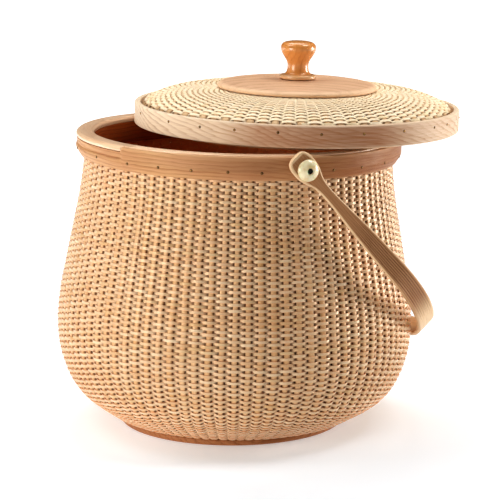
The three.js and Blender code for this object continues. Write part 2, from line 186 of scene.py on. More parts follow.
def curve(points, n, closed=False):
    """n points spread evenly along a smooth curve through these points."""
    p = np.asarray(points, float)
    d = np.concatenate([[0], np.cumsum(np.linalg.norm(np.diff(p, axis=0), axis=1))])
    m = np.gradient(p, d, axis=0)
    t = np.linspace(0, d[-1], n * 12)
    i = np.clip(np.searchsorted(d, t, side="right") - 1, 0, len(p) - 2)
    h = (d[i + 1] - d[i])[:, None]
    x = ((t - d[i]) / (d[i + 1] - d[i]))[:, None]
    q = ((2 * x**3 - 3 * x**2 + 1) * p[i] + (x**3 - 2 * x**2 + x) * h * m[i]
         + (-2 * x**3 + 3 * x**2) * p[i + 1] + (x**3 - x**2) * h * m[i + 1])
    e = np.concatenate([[0], np.cumsum(np.linalg.norm(np.diff(q, axis=0), axis=1))])
    s = np.linspace(0, e[-1], n)
    return np.stack([np.interp(s, e, q[:, k]) for k in range(q.shape[1])], 1)


def rounded(corners, steps=4):
    """A closed outline from (r, z, radius) corners with each corner rounded."""
    c = np.array([p[:2] for p in corners], float)
    out = []
    for i, p in enumerate(corners):
        rad = p[2] if len(p) > 2 else 0
        here, a, b = c[i], c[i - 1], c[(i + 1) % len(c)]
        if rad <= 0:
            out.append(here)
            continue
        u, v = (a - here) / np.linalg.norm(a - here), (b - here) / np.linalg.norm(b - here)
        half = math.acos(np.clip(u @ v, -1, 1)) / 2
        cut = min(rad / math.tan(half), 0.49 * np.linalg.norm(a - here), 0.49 * np.linalg.norm(b - here))
        r = cut * math.tan(half)
        mid = (u + v) / np.linalg.norm(u + v)
        centre = here + mid * r / math.sin(half)
        s, e = here + u * cut - centre, here + v * cut - centre
        a0, a1 = math.atan2(s[1], s[0]), math.atan2(e[1], e[0])
        turn = (a1 - a0 + math.pi) % (2 * math.pi) - math.pi
        for k in range(steps + 1):
            t = a0 + turn * k / steps
            out.append(centre + r * np.array([math.cos(t), math.sin(t)]))
    return np.array(out)


def fill_outline(outline, longest, closed=True):
    """The outline with points added so that no side is longer."""
    p = np.asarray(outline, float)
    out = []
    n = len(p) if closed else len(p) - 1
    for i in range(n):
        a, b = p[i], p[(i + 1) % len(p)]
        k = max(1, int(math.ceil(np.linalg.norm(b - a) / longest)))
        for j in range(k):
            out.append(a + (b - a) * j / k)
    if not closed:
        out.append(p[-1])
    return np.array(out)


def grid_faces(n, m, wrap_n, wrap_m):
    i = np.arange(n if wrap_n else n - 1)
    j = np.arange(m if wrap_m else m - 1)
    I, J = np.meshgrid(i, j, indexing="ij")
    a = I * m + J
    b = ((I + 1) % n) * m + J
    c = ((I + 1) % n) * m + (J + 1) % m
    d = I * m + (J + 1) % m
    return np.stack([a, b, c, d], -1).reshape(-1, 4), I.ravel(), J.ravel()


def ring(name, outline, place, mats, n=192, start=0.0, shape=None, edge=None, tone_and_painted_shade=None):
    """A turned ring from a closed [r, z] outline that runs anticlockwise. shape(az, outline) may change it round the
    ring.
    grain holds, in m, the way round the ring, the height and the depth; edge is how near a point is to a worn edge;
    tone_and_painted_shade lists, by azimuth in degrees, how far the wood turns to its darker colour, partly the wood's
    own tone and partly painted shade."""
    o = np.asarray(outline, float)
    az = start + np.arange(n) * 2 * math.pi / n
    prof = np.stack([o if shape is None else shape(a, o) for a in az])
    V = place(polar(prof[..., 0], az[:, None], prof[..., 1]))
    quads, I, J = grid_faces(n, len(o), True, True)
    big = o[:, 0].max()
    turn = np.stack([I, I + 1, I + 1, I], -1) * (2 * math.pi / n) * big
    jj = np.stack([J, J, (J + 1) % len(o), (J + 1) % len(o)], -1)
    ii = np.stack([I, (I + 1) % n, (I + 1) % n, I], -1)
    grain = np.stack([turn, prof[ii, jj, 1], prof[ii, jj, 0]], -1) * 0.001
    corner = {"grain": grain.reshape(-1, 3)}
    if edge is not None:
        corner["edge"] = np.asarray(edge(o), float)[jj].ravel()
    if tone_and_painted_shade is not None:
        a = (az + math.pi) % (2 * math.pi) - math.pi
        corner["tone_and_painted_shade"] = np.interp(a / DEG, *zip(*tone_and_painted_shade))[ii].ravel()
    return make(name, V, quads, mats=mats, corner=corner, sharp=40)


def solid(name, outline, place, mats, n=128, grain=None, edge=None):
    """A turned solid from an open [r, z] outline that starts and ends on the axis."""
    o = np.asarray(outline, float)
    body, first, last = o[1:-1], o[0], o[-1]
    az = np.arange(n) * 2 * math.pi / n
    P = polar(body[None, :, 0], az[:, None], np.broadcast_to(body[:, 1], (n, len(body))))
    V = np.concatenate([P.reshape(-1, 3), [[0, 0, first[1]], [0, 0, last[1]]]])
    quads, _, _ = grid_faces(n, len(body), True, False)
    m, k = len(body), n * len(body)
    i = np.arange(n)
    tris = np.concatenate([
        np.stack([np.full(n, k), ((i + 1) % n) * m, i * m], -1),
        np.stack([np.full(n, k + 1), i * m + m - 1, ((i + 1) % n) * m + m - 1], -1),
    ])
    g = grain(V) if grain else V
    point = {"grain": g * 0.001}
    if edge is not None:
        point["edge"] = edge(V)
    return make(name, place(V), quads, tris, mats=mats, point=point, sharp=40)


def log_grain(angle, pith, tilt=0.0):
    """Grain coordinates of a piece cut from a log: along the log, distance from its pith, and across."""
    c, s = math.cos(angle), math.sin(angle)

    def of(V):
        x, y = V[:, 0] * c + V[:, 1] * s, -V[:, 0] * s + V[:, 1] * c
        z = V[:, 2] + tilt * x
        return np.stack([x, np.hypot(y - pith[0], z - pith[1]), y], -1)

    return of


# ------------------------------------------------------------------ materials
class Nodes:
    """Short names for making shader nodes."""

    def __init__(self, name):
        self.m = bpy.data.materials.new(name)
        self.m.use_nodes = True
        self.t = self.m.node_tree
        self.t.nodes.clear()
        self.out = self.t.nodes.new("ShaderNodeOutputMaterial")
        self.b = self.t.nodes.new("ShaderNodeBsdfPrincipled")
        self.t.links.new(self.b.outputs[0], self.out.inputs[0])

    def set(self, socket, value):
        if hasattr(value, "links"):
            self.t.links.new(value, socket)
        else:
            socket.default_value = value

    def math(self, op, a, b=0.0, c=0.0, clamp=False):
        n = self.t.nodes.new("ShaderNodeMath")
        n.operation, n.use_clamp = op, clamp
        for s, v in zip(n.inputs, (a, b, c)):
            self.set(s, v)
        return n.outputs[0]

    def vec(self, op, a, b=(0, 0, 0)):
        n = self.t.nodes.new("ShaderNodeVectorMath")
        n.operation = op
        self.set(n.inputs[0], a)
        self.set(n.inputs[1], b)
        return n.outputs[0]

    def attr(self, name, out="Vector"):
        n = self.t.nodes.new("ShaderNodeAttribute")
        n.attribute_name = name
        return n.outputs[out]

    def split(self, v):
        n = self.t.nodes.new("ShaderNodeSeparateXYZ")
        self.set(n.inputs[0], v)
        return n.outputs

    def join(self, x, y, z):
        n = self.t.nodes.new("ShaderNodeCombineXYZ")
        for s, v in zip(n.inputs, (x, y, z)):
            self.set(s, v)
        return n.outputs[0]

    def noise(self, v, scale=1.0, detail=2.0, rough=0.5, distort=0.0):
        n = self.t.nodes.new("ShaderNodeTexNoise")
        self.set(n.inputs["Vector"], v)
        n.inputs["Scale"].default_value = scale
        n.inputs["Detail"].default_value = detail
        n.inputs["Roughness"].default_value = rough
        n.inputs["Distortion"].default_value = distort
        return n.outputs["Fac"]

    def ramp(self, fac, *stops):
        n = self.t.nodes.new("ShaderNodeValToRGB")
        e = n.color_ramp.elements
        while len(e) < len(stops):
            e.new(0.5)
        for el, (p, c) in zip(e, stops):
            el.position = p
            el.color = (c, c, c, 1) if isinstance(c, (int, float)) else (*c, 1)
        self.set(n.inputs[0], fac)
        return n.outputs[0]

    def span(self, x, a, b, lo=0.0, hi=1.0):
        n = self.t.nodes.new("ShaderNodeMapRange")
        n.interpolation_type = "SMOOTHSTEP"
        self.set(n.inputs[0], x)
        for s, v in zip(n.inputs[1:5], (a, b, lo, hi)):
            s.default_value = v
        return n.outputs[0]

    def mix(self, fac, a, b, kind="MIX"):
        n = self.t.nodes.new("ShaderNodeMix")
        n.data_type, n.blend_type = "RGBA", kind
        n.clamp_factor = True
        self.set(n.inputs[0], fac)
        for s, v in ((n.inputs[6], a), (n.inputs[7], b)):
            self.set(s, (*v, 1) if isinstance(v, tuple) and len(v) == 3 else v)
        return n.outputs[2]

    def bump(self, height, strength, distance):
        n = self.t.nodes.new("ShaderNodeBump")
        n.inputs["Strength"].default_value = strength
        n.inputs["Distance"].default_value = distance
        self.set(n.inputs["Height"], height)
        return n.outputs[0]

    def finish(self, colour, rough, normal=None, **fixed):
        self.set(self.b.inputs["Base Color"], colour)
        self.set(self.b.inputs["Roughness"], rough)
        if normal is not None:
            self.set(self.b.inputs["Normal"], normal)
        for key, v in fixed.items():
            self.b.inputs[key.replace("_", " ")].default_value = v
        return self.m


def srgb(r, g, b):
    f = lambda v: v / 12.92 if v <= 0.04045 else ((v + 0.055) / 1.055) ** 2.4
    return tuple(f(v / 255) for v in (r, g, b))


def wood(name, pale, mid, dark, ring=3.2, rings=0.55, slope=0.0, warp=7.0, warp_len=90.0, pores=0.35,
         blotch=None, blotch_amt=0.4, rough=0.42, coat=0.0, bump=0.25, edge=None, edge_amt=0.0, seed=0.0, streak=0.6, tone_and_painted_shade=None, shine=0.5, coat_rough=0.12):
    """Wood with growth rings, streaks and open pores that follow the grain attribute."""
    k = Nodes(name)
    g = k.vec("MULTIPLY", k.attr("grain"), (1000.0, 1000.0, 1000.0))
    g = k.vec("ADD", g, (seed * 131.0, 0.0, seed * 17.0))
    u, v, w = k.split(g)
    drift = k.noise(k.join(k.math("MULTIPLY", u, 1 / warp_len), k.math("MULTIPLY", v, 0.022), k.math("MULTIPLY", w, 0.022)), 1.0, 2.0, 0.45)
    f = k.math("MULTIPLY_ADD", u, slope, v)
    f = k.math("MULTIPLY_ADD", drift, warp * 2, f)
    f = k.math("DIVIDE", f, ring)
    wob = k.noise(k.join(k.math("MULTIPLY", u, 0.03), k.math("MULTIPLY", v, 0.5), k.math("MULTIPLY", w, 0.5)), 1.0, 2.0)
    f = k.math("MULTIPLY_ADD", wob, 0.7, f)
    tooth = k.math("FRACT", f)
    lines = k.ramp(tooth, (0.0, 0.25), (0.12, 0.0), (0.55, 0.18), (0.86, 0.9), (0.95, 1.0), (1.0, 0.25))
    lively = k.span(k.noise(k.join(k.math("MULTIPLY", u, 0.012), k.math("MULTIPLY", f, 0.45), w), 1.0, 2.0), 0.3, 0.7, 0.35, 1.0)
    lines = k.math("MULTIPLY", lines, lively)
    fine = k.noise(k.join(k.math("MULTIPLY", u, 0.035), k.math("MULTIPLY", v, 1.7), k.math("MULTIPLY", w, 1.7)), 1.0, 4.0, 0.6)
    fine = k.span(fine, 0.3, 0.72)
    pore = k.noise(k.join(k.math("MULTIPLY", u, 0.09), k.math("MULTIPLY", v, 3.4), k.math("MULTIPLY", w, 3.4)), 1.0, 2.0, 0.5)
    pore = k.span(pore, 0.56, 0.68)
    pore = k.math("MULTIPLY", pore, k.math("MULTIPLY_ADD", lines, 0.7, 0.3))
    tone = k.math("ADD", k.math("MULTIPLY", fine, streak), k.math("MULTIPLY", lines, rings * 0.8), clamp=True)
    col = k.mix(tone, pale, mid)
    col = k.mix(k.math("MULTIPLY", lines, rings), col, dark)
    if blotch:
        patch = k.noise(k.join(k.math("MULTIPLY", u, 0.011), k.math("MULTIPLY", v, 0.035), k.math("MULTIPLY", w, 0.035)), 1.0, 2.0, 0.5)
        col = k.mix(k.span(patch, 0.38, 0.66, 0.0, blotch_amt), col, blotch)
    if tone_and_painted_shade:
        # darker colour by the tone_and_painted_shade attribute: partly the wood's own tone, partly painted shade
        col = k.mix(k.math("MULTIPLY", k.attr("tone_and_painted_shade", "Fac"), k.span(fine, 0.0, 1.0, 0.8, 1.0)), col, tone_and_painted_shade)
    col = k.mix(k.math("MULTIPLY", pore, pores), col, tuple(c * 0.45 for c in dark))
    # paler colour by the edge attribute: worn edges, and painted highlight or painted light on the disc's rim and the
    # handle's bow
    if edge:
        col = k.mix(k.math("MULTIPLY", k.attr("edge", "Fac"), k.span(fine, 0.0, 1.0, edge_amt, edge_amt * 0.75)), col, edge)
    r = k.math("MULTIPLY_ADD", pore, 0.2, k.span(fine, 0.0, 1.0, rough - 0.05, rough + 0.07))
    h = k.math("SUBTRACT", k.math("MULTIPLY", fine, 0.4), k.math("MULTIPLY_ADD", pore, 0.8, k.math("MULTIPLY", lines, 0.3)))
    fixed = {"Coat_Weight": coat, "Coat_Roughness": coat_rough} if coat else {}
    return k.finish(col, r, k.bump(h, bump, 0.0004), Specular_IOR_Level=shine, Specular_Tint=(1.0, 0.76, 0.5, 1), **fixed)


def cane(name, pale, mid, dark, rough=0.26, spread=0.6, hollow_shade=None, deep=0.6, rosy=(222, 168, 126), olive=(206, 168, 104), shine=0.75, inside_shade=None, glint=(1.0, 0.85, 0.68)):
    """Split cane: lengthwise fibres, a tone and a tint for each strand, darker flecks, painted shade in the hollows of
    the weave where unshaded is low, and a deeper, redder colour on the inner faces that is painted shade and bounce
    light.
    """
    k = Nodes(name)
    lay = k.attr("lay")
    u, v, w = k.split(k.vec("MULTIPLY", lay, (1000.0, 1000.0, 1000.0)))
    fibre = k.noise(k.join(k.math("MULTIPLY", u, 0.06), k.math("MULTIPLY", v, 3.2), w), 1.0, 4.0, 0.65)
    fibre = k.span(fibre, 0.3, 0.72)
    patch = k.noise(k.join(k.math("MULTIPLY", u, 0.02), k.math("MULTIPLY", v, 0.12), k.math("MULTIPLY", w, 0.31)), 1.0, 3.0)
    fleck = k.noise(k.join(k.math("MULTIPLY", u, 0.35), k.math("MULTIPLY", v, 0.9), k.math("ADD", w, 7.0)), 1.0, 3.0, 0.6)
    fleck = k.span(fleck, 0.63, 0.76)
    tone = k.attr("tone", "Fac")
    t = k.math("ADD", k.math("MULTIPLY", tone, spread), k.math("MULTIPLY", k.span(patch, 0.3, 0.7), 0.45))
    t = k.math("ADD", t, k.math("MULTIPLY", fibre, 0.22), clamp=True)
    col = k.mix(t, pale, mid)
    tint = k.math("ADD", k.attr("tint", "Fac"), k.span(patch, 0.3, 0.7, -0.14, 0.14))
    col = k.mix(k.span(tint, 0.08, 0.34, 0.32, 0.0), col, srgb(*rosy))
    col = k.mix(k.span(tint, 0.7, 0.94, 0.0, 0.3), col, srgb(*olive))
    col = k.mix(k.math("MULTIPLY", fleck, 0.35), col, dark)
    # painted shade: where unshaded is low, in the hollows of the weave, the colour turns to hollow_shade
    unshaded = k.attr("unshaded", "Fac")
    col = k.mix(k.math("MULTIPLY_ADD", unshaded, -deep, deep), col, dark if hollow_shade is None else hollow_shade)
    # painted shade and bounce light: the inner faces take the deeper, redder inside_shade colour
    if inside_shade:
        col = k.mix(k.math("MULTIPLY", k.attr("inside", "Fac"), k.span(fibre, 0.0, 1.0, 0.95, 0.8)), col, inside_shade)
    r = k.math("ADD", k.span(fibre, 0.0, 1.0, rough - 0.06, rough + 0.1), k.math("MULTIPLY", fleck, 0.15))
    return k.finish(col, r, k.bump(k.math("ADD", fibre, k.math("MULTIPLY", fleck, -0.6)), 0.25, 0.0002), Specular_IOR_Level=shine, Specular_Tint=(*glint, 1))


# the hollow_shade colours are painted shade for the hollows of the weave
CANE = cane("cane", srgb(240, 214, 178), srgb(219, 176, 133), srgb(150, 88, 42), hollow_shade=srgb(58, 18, 2), deep=0.95, inside_shade=srgb(252, 132, 62), rough=0.26, shine=0.7, glint=(1.0, 0.7, 0.42))
CANE_LID = cane("cane_lid", srgb(254, 240, 211), srgb(249, 224, 185), srgb(182, 130, 82), rough=0.5, spread=0.5,
                hollow_shade=srgb(150, 96, 56), deep=0.8, rosy=(238, 204, 168), olive=(226, 204, 150), shine=0.4)
STAVE = cane("stave", srgb(240, 202, 154), srgb(222, 168, 114), srgb(150, 88, 44), spread=0.4, deep=0.9, hollow_shade=srgb(92, 34, 6), inside_shade=srgb(232, 112, 52), rough=0.28, shine=0.6, glint=(1.0, 0.7, 0.42))
STAVE_LID = cane("stave_lid", srgb(240, 208, 164), srgb(222, 182, 134), srgb(150, 100, 60), rough=0.5, spread=0.4, deep=0.8, hollow_shade=srgb(150, 94, 50))
INSIDE = cane("cane_inside", srgb(241, 212, 174), srgb(220, 174, 129), srgb(150, 88, 42), hollow_shade=srgb(58, 18, 2), deep=0.95, inside_shade=srgb(252, 162, 96),
              rough=0.62, shine=0.05, glint=(1.0, 0.7, 0.42))
RIM_WOOD = wood("rim_wood", srgb(216, 170, 122), srgb(198, 144, 96), srgb(140, 84, 46), ring=3.4, rings=0.6, slope=0.03, pores=0.5,
                blotch=srgb(204, 148, 112), blotch_amt=0.5, rough=0.44, shine=0.16, seed=1.0, edge=srgb(240, 194, 146), edge_amt=0.5,
                tone_and_painted_shade=srgb(142, 82, 40))
CAP_WOOD = wood("cap_wood", srgb(251, 214, 178), srgb(241, 196, 158), srgb(190, 134, 94), ring=4.2, rings=0.35,
                rough=0.32, coat=0.4, seed=2.0, edge=srgb(240, 202, 158), edge_amt=0.45)
# the inner hoop's dark, red colour is painted shade and bounce light from inside the basket
SHADED_INNER_WOOD = wood("inner_wood_shaded", srgb(184, 96, 44), srgb(162, 78, 32), srgb(112, 50, 18), ring=3.6, rings=0.4, rough=0.45, seed=3.0, shine=0.3)
HOOP_WOOD = wood("hoop_wood", srgb(248, 228, 200), srgb(234, 206, 170), srgb(172, 124, 86), ring=4.6, rings=0.7, slope=0.3,
                 warp=16.0, warp_len=120.0, blotch=srgb(232, 206, 176), blotch_amt=0.5, rough=0.44, seed=4.0,
                 edge=srgb(248, 226, 196), edge_amt=0.7, tone_and_painted_shade=srgb(164, 100, 60), shine=0.12)
BASE_WOOD = wood("base_wood", srgb(182, 124, 84), srgb(160, 102, 64), srgb(116, 66, 38), ring=4.0, rings=0.45, rough=0.5, seed=5.0, shine=0.25)
DISC_WOOD = wood("disc_wood", srgb(228, 186, 150), srgb(208, 160, 122), srgb(164, 110, 74), ring=5.0, rings=0.4, rough=0.48,
                 seed=6.0, pores=0.25, edge=srgb(252, 216, 178), edge_amt=0.7, shine=0.4)
KNOB_WOOD = wood("knob_wood", srgb(227, 157, 88), srgb(211, 131, 64), srgb(162, 86, 34), ring=5.0, rings=0.3, rough=0.3,
                 coat=0.7, coat_rough=0.2, bump=0.04, pores=0.2, seed=7.0, edge=srgb(240, 196, 146), edge_amt=0.8)
HANDLE_WOOD = wood("handle_wood", srgb(190, 140, 98), srgb(162, 110, 72), srgb(108, 64, 38), ring=2.2, rings=0.3, rough=0.46,
                   seed=8.0, edge=srgb(238, 206, 164), edge_amt=0.9, warp=3.0, warp_len=160.0, tone_and_painted_shade=srgb(112, 68, 42), shine=0.25)
RING_WOOD = wood("ring_wood", srgb(222, 180, 136), srgb(200, 152, 108), srgb(154, 106, 68), ring=4.4, rings=0.4, rough=0.45, seed=9.0)


def bone():
    k = Nodes("bone")
    n = k.t.nodes.new("ShaderNodeTexCoord")
    p = k.vec("MULTIPLY", n.outputs["Object"], (1000.0, 1000.0, 1000.0))
    cloud = k.span(k.noise(p, 0.22, 3.0), 0.35, 0.7)
    vein = k.span(k.noise(k.vec("MULTIPLY", p, (1.0, 1.0, 0.25)), 1.6, 3.0, 0.6), 0.52, 0.7)
    col = k.mix(cloud, srgb(244, 230, 190), srgb(228, 204, 150))
    col = k.mix(k.math("MULTIPLY", vein, 0.35), col, srgb(178, 142, 88))
    return k.finish(col, k.span(vein, 0.0, 1.0, 0.26, 0.4), k.bump(vein, 0.08, 0.0003), Subsurface_Weight=0.15,
                    Subsurface_Scale=0.002, Coat_Weight=0.3, Coat_Roughness=0.1)


def metal(name, base, worn, rough, metallic=1.0):
    k = Nodes(name)
    n = k.t.nodes.new("ShaderNodeTexCoord")
    p = k.vec("MULTIPLY", n.outputs["Object"], (1000.0, 1000.0, 1000.0))
    spot = k.span(k.noise(p, 0.9, 4.0, 0.6), 0.4, 0.66)
    scratch = k.span(k.noise(k.vec("MULTIPLY", p, (6.0, 6.0, 0.6)), 1.0, 2.0), 0.5, 0.7)
    col = k.mix(spot, base, worn)
    return k.finish(col, k.math("MULTIPLY_ADD", scratch, 0.14, k.span(spot, 0.0, 1.0, rough, rough + 0.2)),
                    k.bump(scratch, 0.1, 0.0001), Metallic=metallic)


BONE = bone()
BRASS = metal("brass", srgb(176, 136, 80), srgb(92, 62, 34), 0.25)
NAIL_RING = metal("nail_dark_ring", srgb(58, 34, 18), srgb(36, 20, 10), 0.6, 0.0)
DARK = metal("dark_pin", srgb(30, 24, 20), srgb(52, 40, 32), 0.45, 0.4)
STEEL = metal("steel", srgb(176, 174, 170), srgb(120, 116, 112), 0.3)


# ------------------------------------------------------------------ weaving
class Surface:
    """A turned surface along a smooth [r, z] line, by distance along it."""

    def __init__(self, points, side=1.0):
        self.p = curve(points, 900)
        self.s = np.concatenate([[0], np.cumsum(np.linalg.norm(np.diff(self.p, axis=0), axis=1))])
        t = np.gradient(self.p, self.s, axis=0)
        t /= np.linalg.norm(t, axis=1)[:, None]
        self.t = t
        self.n = np.stack([t[:, 1], -t[:, 0]], 1) * side
        self.length = float(self.s[-1])

    def at(self, s):
        out = []
        for a in (self.p, self.n, self.t):
            out.append(np.stack([np.interp(s, self.s, a[:, k]) for k in (0, 1)], -1))
        return out


def value_noise(rng, length, x):
    """Smooth noise with one random value per unit of x."""
    r = rng.normal(size=int(length) + 3)
    i = np.floor(x).astype(int)
    t = x - i
    t = t * t * (3 - 2 * t)
    return r[i] * (1 - t) + r[i + 1] * t


STEPS = np.array([0, 0.15, 0.24, 0.35, 0.5, 0.65, 0.76, 0.85])  # places along the strand from one stave to the next


def swing(amp, r, at):
    """Where the staves come closer together the strands swing less."""
    return amp * np.clip(r / at, 0.4, 1.05) ** 0.8


def weavers(name, surf, place, staves, s0, s1, pitch, mat, seed, pieces, amp, at, thick, tall, steep=2.1, wander=None, hollow=(-0.9, -0.3), painted_side_shade=None, back=0.55, inner_mat=None):
    """One long flat strand laid in a spiral over and under the staves, cut into pieces for handling. Returns the objects."""
    rng = np.random.default_rng(seed)
    per = len(STEPS)
    turns, s = [], s0
    while s < s1:
        turns.append(s)
        s += pitch(s)
    rows = len(turns) - 1
    turns = np.array(turns)
    total = rows * staves
    c = np.append((np.arange(total)[:, None] + STEPS).ravel(), total)
    s = np.interp(c / staves, np.arange(len(turns)), turns)
    ramp = steep * (2 * np.abs((c + 1) % 2 - 1) - 1) * -1
    wave = ramp / (1 + np.abs(ramp) ** 3) ** (1 / 3) * (1 + steep**-3) ** (1 / 3)
    half = (tall + 0.4 * (1 - np.abs(wave)) + 1.2 * smooth(-wave, 0.1, 0.8)) / 2 * (1 + 0.02 * value_noise(rng, total, c))
    lift = 0.05 * value_noise(rng, total, c) + 0.16 * value_noise(rng, total, c * 0.09)
    az = 2 * np.pi * c / staves
    if wander is not None:
        az = az + wander(c % staves, s)
    p, n, t = surf.at(s + lift)
    a = swing(amp, p[:, 0], at)
    d = -(a + thick / 2) + a * wave * (1 + 0.05 * value_noise(rng, total, c))
    r, z = p[:, 0] + d * n[:, 0], p[:, 1] + d * n[:, 1]
    P = polar(r, az, z)
    out = polar(1.0, az, 0.0)
    e = np.stack([np.cos(az), np.sin(az), np.zeros_like(az)], -1)
    N = out * n[:, :1] + np.array([0, 0, 1.0]) * n[:, 1:]
    B = out * t[:, :1] + np.array([0, 0, 1.0]) * t[:, 1:]
    step = np.append(np.diff(az) * (r[1:] + r[:-1]) / 2, 1.0)
    slope = np.gradient(d, np.concatenate([[0], np.cumsum(step[:-1])]))
    q = N - slope[:, None] * e
    q /= np.linalg.norm(q, axis=1)[:, None]
    section = np.array([(1, 0), (0.84, 1), (-0.84, 1), (-1, 0), (-0.84, -1), (0.84, -1)])
    M = len(section)
    deeper = half[:, None] + back * smooth(-wave, -0.3, 0.4)[:, None] * (1 - section[:, 1]) / 2  # pressed wide behind the staves
    V = P[:, None] + B[:, None] * (section[:, 0] * deeper)[..., None] + q[:, None] * (section[:, 1] * thick / 2)[None, :, None]
    V = place(V)
    length = np.concatenate([[0], np.cumsum(np.hypot(step[:-1], np.diff(d)))])
    strand = np.floor(c / (staves * 0.73) + 0.31 * value_noise(rng, total, c * 0.01)).astype(int)
    tones = rng.random(strand.max() - strand.min() + 2)
    tints = rng.random(strand.max() - strand.min() + 2)
    tone = tones[strand - strand.min()] * 0.8 + 0.1 + 0.14 * value_noise(rng, total, c * 0.5)
    tint = tints[strand - strand.min()] * 0.8 + 0.1 + 0.09 * value_noise(rng, total, c * 0.5)
    inward = (1 - section[:, 1]) / 2
    # painted shade: the strand darkens where it dives into the hollows behind the staves; this goes into the unshaded
    # attribute
    shadow = 1 - smooth(wave, *hollow)
    # painted shade by azimuth: the hollows take more painted shade on the front-right and less on the left
    if painted_side_shade is not None:
        shadow = shadow * np.interp((az / DEG + 180) % 360 - 180, *zip(*painted_side_shade))
    depth = np.clip(1 - shadow, 0, 1)[:, None] * (1 - inward) + inward
    inside = np.broadcast_to(inward, depth.shape)
    made = []
    cuts = np.linspace(0, rows, pieces + 1).round().astype(int) * staves * per
    for k in range(pieces):
        a, b = cuts[k], cuts[k + 1] + 1
        v = V[a:b]
        count = len(v)
        quads, I, J = grid_faces(count, M, False, True)
        quads = quads[:, ::-1]
        ends = np.array([[0, 1, 2, 3], [0, 3, 4, 5]])
        last = (count - 1) * M
        quads = np.concatenate([quads, ends, last + ends[:, ::-1]])
        across = np.cumsum([0, 0.6, 3.6, 0.6, 0.6, 3.6, 0.6]) * tall / 9.6
        ii = np.stack([I, I + 1, I + 1, I], -1)[:, ::-1]
        jj = np.stack([J, J, J + 1, J + 1], -1)[:, ::-1]
        lay = np.stack([length[a + ii], across[jj], np.broadcast_to((strand[a + ii] * 3.7) % 97, ii.shape)], -1)
        lay = np.concatenate([lay.reshape(-1, 3), np.zeros((16, 3))]) * 0.001
        line = staves * per / 2.0  # half a turn to a line of the map
        lines = int(math.ceil((count - 1) / line))
        row_of = np.floor(I / line)
        uu = (ii - row_of[:, None] * line) / line
        vv = (row_of[:, None] + 0.04 + 0.92 * jj / M) / lines
        uv = np.concatenate([np.stack([uu, vv], -1).reshape(-1, 2), np.tile([[0.0, 0.0], [0.002, 0.0], [0.002, 0.001], [0.0, 0.001]], (4, 1))])
        slots = np.concatenate([np.where(J >= 3, 1, 0), np.zeros(4, int)]) if inner_mat else None
        ob = make(f"{name}_{k + 1}", v.reshape(-1, 3), quads, mats=[mat, inner_mat] if inner_mat else [mat], corner={"lay": lay}, uv=uv, sharp=48, slots=slots,
                  point={"tone": np.repeat(tone[a:b], M), "tint": np.repeat(tint[a:b], M), "unshaded": depth[a:b].ravel(), "inside": inside[a:b].ravel()})
        made.append(ob)
    return made


def staves_of(name, surf, place, count, s0, s1, width, amp, at, strand, mat, seed, steps=70, wander=None, inner_mat=None):
    """Splints with a rounded face that run up the surface in the middle of the weave."""
    rng = np.random.default_rng(seed)
    s = np.linspace(s0, s1, steps)
    p, n, t = surf.at(np.clip(s, 0, surf.length))
    over = s - np.clip(s, 0, surf.length)
    p = p + t * over[:, None]
    a = swing(amp, p[:, 0], at)
    depth, thick = a + strand / 2, 2 * (a - strand / 2 - 0.06)
    sec = [(-1, 0), (-0.88, 0.25), (-0.5, 0.44), (0, 0.5), (0.5, 0.44), (0.88, 0.25), (1, 0), (0.88, -0.25), (0.5, -0.44), (0, -0.5), (-0.5, -0.44), (-0.88, -0.25)]
    M = len(sec)
    V, lay, tone = [], [], []
    for j in range(count):
        az = 2 * np.pi * j / count + (wander(np.full(steps, float(j)), s) if wander is not None else np.zeros(steps))
        w = width(p[:, 0]) / 2 * (1 + 0.05 * rng.normal())
        mid = p - n * depth[:, None]
        out, e = polar(1.0, az, 0.0), np.stack([np.cos(az), np.sin(az), np.zeros(steps)], -1)
        N = out * n[:, :1] + np.array([0, 0, 1.0]) * n[:, 1:]
        C = polar(mid[:, 0], az, mid[:, 1])
        V.append(np.stack([C + e * (x * w)[:, None] + N * (y * thick)[:, None] for x, y in sec], 1))
        lay.append(np.stack([np.stack([s, x * w, np.full(steps, j * 5.3 % 89)], -1) for x, y in sec], 1))
        tone.append(np.full((steps, M), rng.random()))
    V, lay, tone = np.array(V), np.array(lay), np.array(tone)
    quads, _, J = grid_faces(steps, M, False, True)
    last = (steps - 1) * M
    ends = np.array([[0, 1, 2, 11], [2, 3, 10, 11], [3, 4, 9, 10], [4, 5, 8, 9], [5, 6, 7, 8]])
    one = np.concatenate([quads, ends[:, ::-1], last + ends])
    quads = (one[None] + (np.arange(count) * steps * M)[:, None, None]).reshape(-1, 4)
    slots = np.tile(np.concatenate([np.where(J >= 6, 1, 0), np.zeros(10, int)]), count) if inner_mat else None
    # painted shade: unshaded falls towards each stave's edges, so the edges darken where they pass under the strands
    return make(name, place(V).reshape(-1, 3), quads, mats=[mat, inner_mat] if inner_mat else [mat], sharp=50, slots=slots,
                point={"lay": lay.reshape(-1, 3) * 0.001, "tone": tone.ravel(), "tint": 0.2 + 0.6 * tone.ravel(), "unshaded": np.tile([1 - 0.75 * abs(x) ** 3 for x, y in sec], tone.size // M),
                       "inside": np.tile([float(y < 0) for x, y in sec], tone.size // M)})


# the wall
wall = Surface(WALL)
wall_rng = np.random.default_rng(11)
wall_shift = wall_rng.normal(size=(STAVES + 1, 9)) * 0.045
wall_shift[-1] = wall_shift[0]


def wall_wander(j, s):
    """How far a stave strays from its even place, as an angle."""
    x = np.clip(np.asarray(s) / wall.length, 0, 1) * 7.999
    i = np.floor(x).astype(int)
    f = x - i
    f = f * f * (3 - 2 * f)
    a = np.floor(j).astype(int) % STAVES
    g = j - np.floor(j)
    at = lambda k: wall_shift[k, i] * (1 - f) + wall_shift[k, i + 1] * f
    return (at(a) * (1 - g) + at((a + 1) % STAVES) * g) * 2 * np.pi / STAVES


